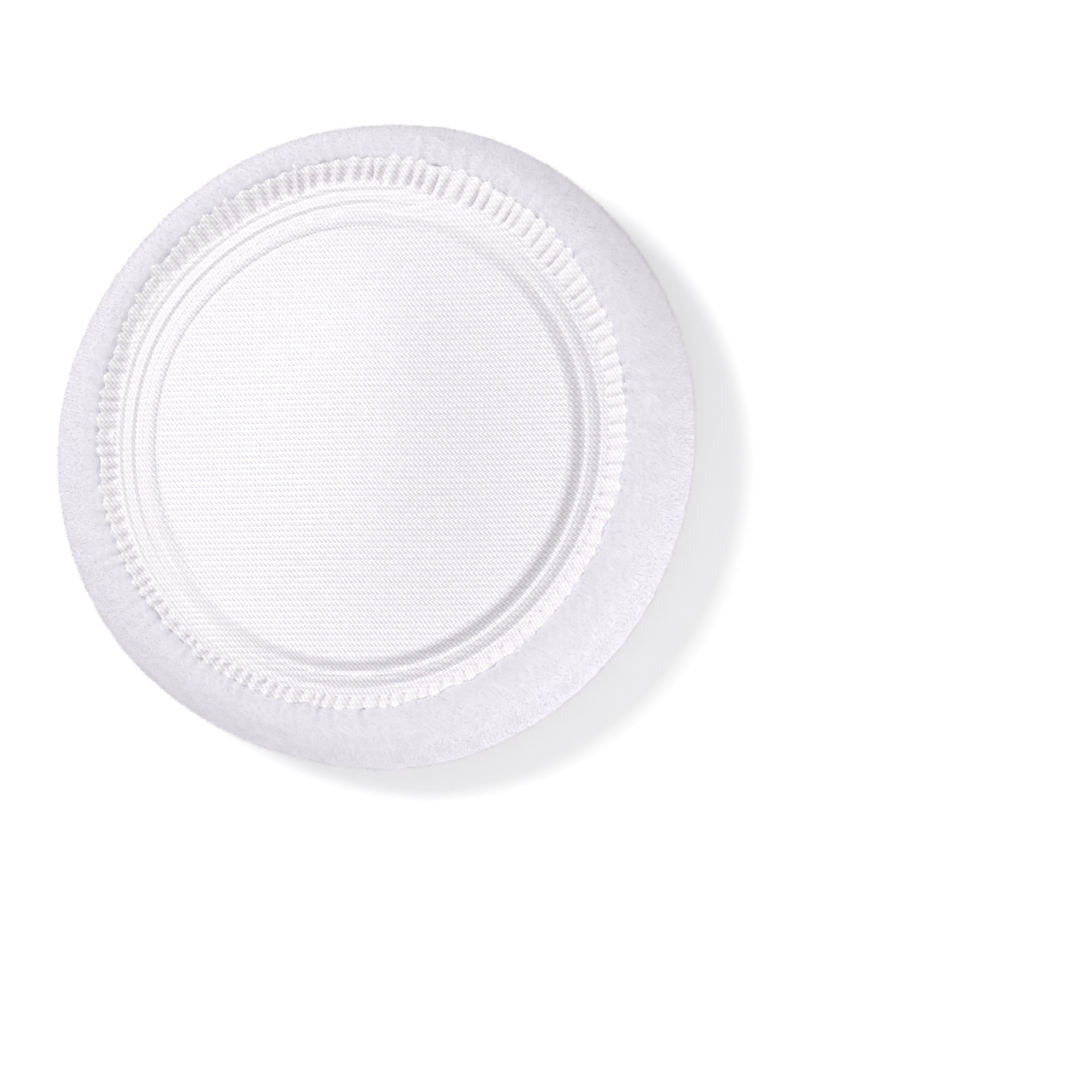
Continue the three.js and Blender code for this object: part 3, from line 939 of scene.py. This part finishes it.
# painted shade: the gaps between floats, and the rows' ends where the floats dive under
between = maths(weave, "POWER", ridges(weave, floats), FLOAT_POWER)
dive = ridges(weave, maths(weave, "ADD", row, (LONG_LEG - 1) / 2))
row_end = maths(weave, "POWER", dive, ROW_POWER)
plain = maths(weave, "MULTIPLY", between, linear(weave, row_end, -ROW_COVER, 1.0))
shaded_gap = linear(weave, row_end, ROW_SHADE, plain)
narrow = maths(weave, "POWER", shaded_gap, maths(weave, "ADD", pressed_and_lit, 1.0))
shaded_gap = maths(weave, "MULTIPLY", narrow, linear(weave, pressed_and_lit, -GAP_SHADE_PALER, 1.0))
stretch = node(weave, "Mapping", {"Vector": place, "Scale": YARN_SCALE}).outputs[0]
yarn = node(weave, "TexNoise", {"Vector": stretch, "Scale": 1.0, "Detail": 2.0}).outputs["Fac"]
for label, value in (("Shaded gap", shaded_gap), ("Dive", dive), ("Yarn", yarn)):
    weave.links.new(value, result[label])

# %% [markdown]
# ## Satin finish
#
# White polyester: a bright, nearly neutral colour, a soft gloss, and the floats as bump. The gaps between
# floats are rougher than their backs, and darker with painted shade, tinted lilac as a painted reflection of
# the velour.

# %% Satin material
# the gap colour is painted shade for the hollows between floats, tinted lilac as a painted reflection of the
# velour
SATIN_COLOUR, SATIN_GAP_SHADE = (0.985, 0.956, 0.985), (0.64, 0.615, 0.665)
SATIN_ROUGH, GAP_ROUGHER = 0.34, 0.08
YARN_TONE, FLOAT_HEIGHT = 0.06, 0.022 * MM
satin, tree, shader = new_material("satin")
woven = node(tree, "Group", node_tree=weave).outputs
loose = mottled(tree, 1900.0, 1.2)
# painted shade in the gaps, from the weave's mask
shaded_gap = maths(tree, "MULTIPLY", woven["Shaded gap"], loose["Tone"])
colour = node(tree, "Mix", {"Factor": shaded_gap, "A": (*SATIN_COLOUR, 1), "B": (*SATIN_GAP_SHADE, 1)}, data_type="RGBA")
tone = linear(tree, maths(tree, "SUBTRACT", woven["Yarn"], 0.5), YARN_TONE, 1.0)
height = maths(tree, "ADD", woven["Shaded gap"], woven["Dive"])
plug(tree, shader, {
    "Base Color": tinted(tree, colour.outputs["Result"], tone),
    "Roughness": linear(tree, woven["Shaded gap"], GAP_ROUGHER, SATIN_ROUGH),
    "Specular IOR Level": 1.0, "Normal": bumped(tree, height, 1.0, FLOAT_HEIGHT, invert=True)})

satin_sheet = add_piece("satin_sheet", satin_mesh, satin, "satin", "satin_back")

# %% [markdown]
# ## The pad under the satin
#
# A firm felt disc takes the pressing, so its top repeats the beads a little lower. It is never seen, but it
# is part of the object.

# %% Backing disc
disc_low, disc_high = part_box("backing_disc")
DISC_GAP, DISC_COLUMNS = 0.8 * MM, 180
DISC_BEVEL, DISC_INSET = 0.3 * MM, 0.25 * MM  # at the lower and the upper edge
FELT_SIZE, FELT_UNEVEN, FELT_BUMP = 4 * MM, 0.03 * MM, 0.15 * MM
FELT_COLOUR = (0.80, 0.785, 0.73)
disc_r = np.concatenate([np.linspace(FIRST_RING, 21.5, 10) * MM,
                         np.linspace(21.8 * MM, disc_high.x - DISC_INSET, 30)])
disc_section = np.vstack([[FIRST_RING * MM, disc_low.z], [disc_high.x - DISC_BEVEL, disc_low.z],
                          [disc_high.x, disc_low.z + DISC_BEVEL],
                          np.column_stack([disc_r, pressed_height(disc_r) - DISC_GAP])[::-1]])
disc_angles = ring_angles(DISC_COLUMNS)
disc_points = turned(disc_section, disc_angles)
disc_points[..., 2] += FELT_UNEVEN * patches(disc_points, FELT_SIZE, seed=31)
disc_poles = [0, 0, disc_low.z], [0, 0, disc_points[-1, :, 2].mean()]
disc_mesh = grid_mesh("felt_disc.mesh", disc_points, disc_poles)

felt, tree, shader = new_material("felt")
clump = mottled(tree, 500.0, 0.16)
hair = mottled(tree, 3500.0, 0.22)
tone = maths(tree, "MULTIPLY", clump["Tone"], hair["Tone"])
plug(tree, shader, {
    "Base Color": tinted(tree, FELT_COLOUR, tone), "Roughness": 0.95,
    "Normal": bumped(tree, hair["Height"], 0.8, FELT_BUMP)})
felt_disc = add_piece("felt_disc", disc_mesh, felt, "pressed_pad", "backing_disc")
print(f"pad: {len(disc_mesh.polygons)} faces")

# %% [markdown]
# ## The sponge
#
# A cut round of open-cell foam fills the cover with a small gap, and steps in at the top to leave room for
# the hem. The pores are cells of a Voronoi pattern, whose middles get a darker brown as painted shade
# inside the holes.

# %% Sponge core
SPONGE_INSET, SPONGE_ROWS = 2.1 * MM, 70
# radius and height in mm: shoulder, edge, rim, step for the hem, middle
SPONGE_UPPER = np.array([[32.75, 7.4], [32.3, 8.6], [30, 8.75], [26.6, 8.6], [FIRST_RING, 8.6]]) * MM
PORE_SHADE_COLOUR, FOAM_COLOUR, PORE_DEPTH = (0.55, 0.48, 0.33, 1), (0.90, 0.82, 0.62, 1), 0.25 * MM
sponge_section = even_steps(np.vstack([
    [[FIRST_RING * MM, SPONGE_INSET]], arc(flank_middle, flank_axes - SPONGE_INSET, -90, 0, 30),
    SPONGE_UPPER]), SPONGE_ROWS)
sponge_points = shifted(turned(sponge_section, disc_angles))
sponge_mesh = grid_mesh("foam_disc.mesh", sponge_points, ([0, 0, SPONGE_INSET], [0, 0, SPONGE_UPPER[-1, 1]]))

foam, tree, shader = new_material("foam")
place = node(tree, "TexCoord").outputs["Object"]
pores = node(tree, "TexVoronoi", {"Vector": place, "Scale": 1600.0}, feature="SMOOTH_F1").outputs["Distance"]
cream = mottled(tree, 250.0, 0.10)
# painted shade: a darker brown in the middles of the pores
wall = node(tree, "Mix", {"Factor": pores, "A": PORE_SHADE_COLOUR, "B": FOAM_COLOUR}, data_type="RGBA")
plug(tree, shader, {
    "Base Color": tinted(tree, wall.outputs["Result"], cream["Tone"]), "Roughness": 0.9,
    "Normal": bumped(tree, pores, 1.0, PORE_DEPTH)})
foam_disc = add_piece("foam_disc", sponge_mesh, foam, "sponge", "sponge_core")
sponge_low, sponge_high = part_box("sponge_core")
print(f"sponge: {len(sponge_mesh.polygons)} faces, solid {(sponge_high.z - sponge_low.z) / MM:.1f} mm thick")

# %% [markdown]
# ## The draw thread
#
# The thread that gathers the satin lies in its hem as a closed ring. It is two plies twisted together: the
# section is a circle with two lobes, and it turns as it goes round.

# %% Draw thread
THREAD_RING, THREAD_LEVEL = 27.86 * MM, 10.195 * MM
PLY, LOBE, PLY_TWISTS = 0.19 * MM, 0.28, 150  # mean radius, share of the lobes, twists
THREAD_COLUMNS, THREAD_ROWS = 1200, 14
THREAD_COLOUR = (0.90, 0.88, 0.88)
ring_a, section_a = ring_angles(THREAD_COLUMNS), ring_angles(THREAD_ROWS)[:, None]
ply = PLY * (1 + LOBE * np.cos(2 * section_a - 2 * PLY_TWISTS * ring_a))
thread_r = THREAD_RING + ply * np.cos(section_a)
thread_z = THREAD_LEVEL + ply * np.sin(section_a)
thread_points = along_radius(around(thread_r, ring_a, thread_z), seam_share(THREAD_RING))
thread_mesh = grid_mesh("gather_thread.mesh", thread_points, loop_rows=True)

yarn_finish, tree, shader = new_material("thread")
slub = mottled(tree, 1500.0, 0.12)
plug(tree, shader, {"Base Color": tinted(tree, THREAD_COLOUR, slub["Tone"]), "Roughness": 0.5})
add_piece("gather_thread", thread_mesh, yarn_finish, "thread", "draw_thread")
print(f"thread: {len(thread_mesh.polygons)} faces")
